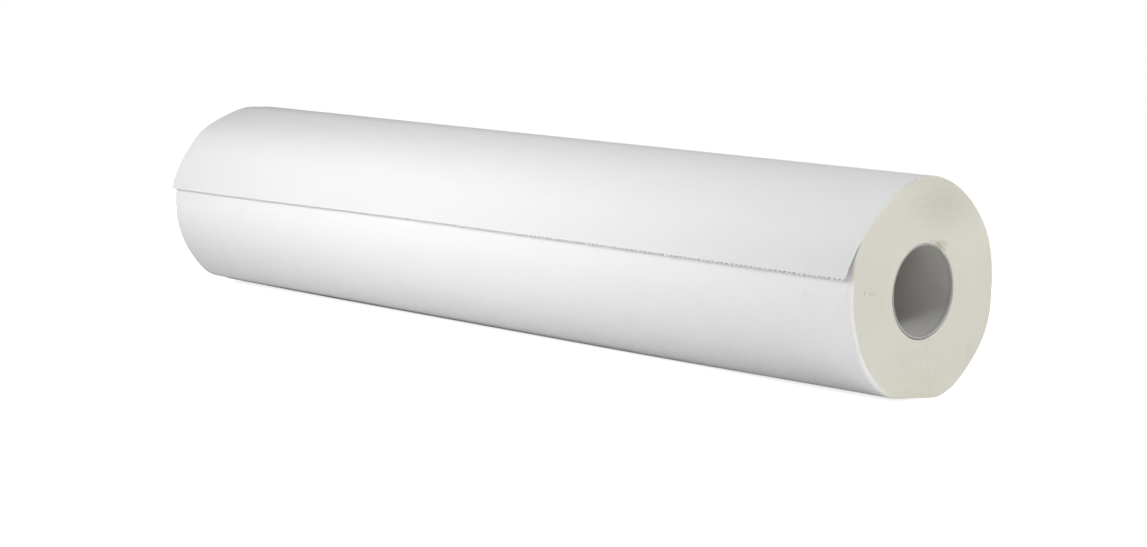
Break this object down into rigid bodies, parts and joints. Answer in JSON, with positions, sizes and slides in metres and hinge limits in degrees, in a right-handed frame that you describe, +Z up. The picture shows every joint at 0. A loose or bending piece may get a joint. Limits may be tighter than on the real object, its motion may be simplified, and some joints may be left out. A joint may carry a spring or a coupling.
{
  "type": "exam table paper roll",
  "caption": "Exam table paper roll of white embossed tissue on a grey board core, with a loose skewed tail, lying on the small flat of its soft side.",
  "frame": {"origin": "on the floor, in the middle of the flat that the roll rests on", "axes": "+X along the roll's axis, +Y away from the side where the loose tail hangs, +Z up"},
  "size_m": [0.503, 0.1053, 0.1021],
  "materials": {
    "board": "matte grey board",
    "tissue": "matte white embossed tissue"
  },
  "bodies": {
    "root": {"core_tube": "board", "paper_roll": "tissue"}
  },
  "joints": []
}
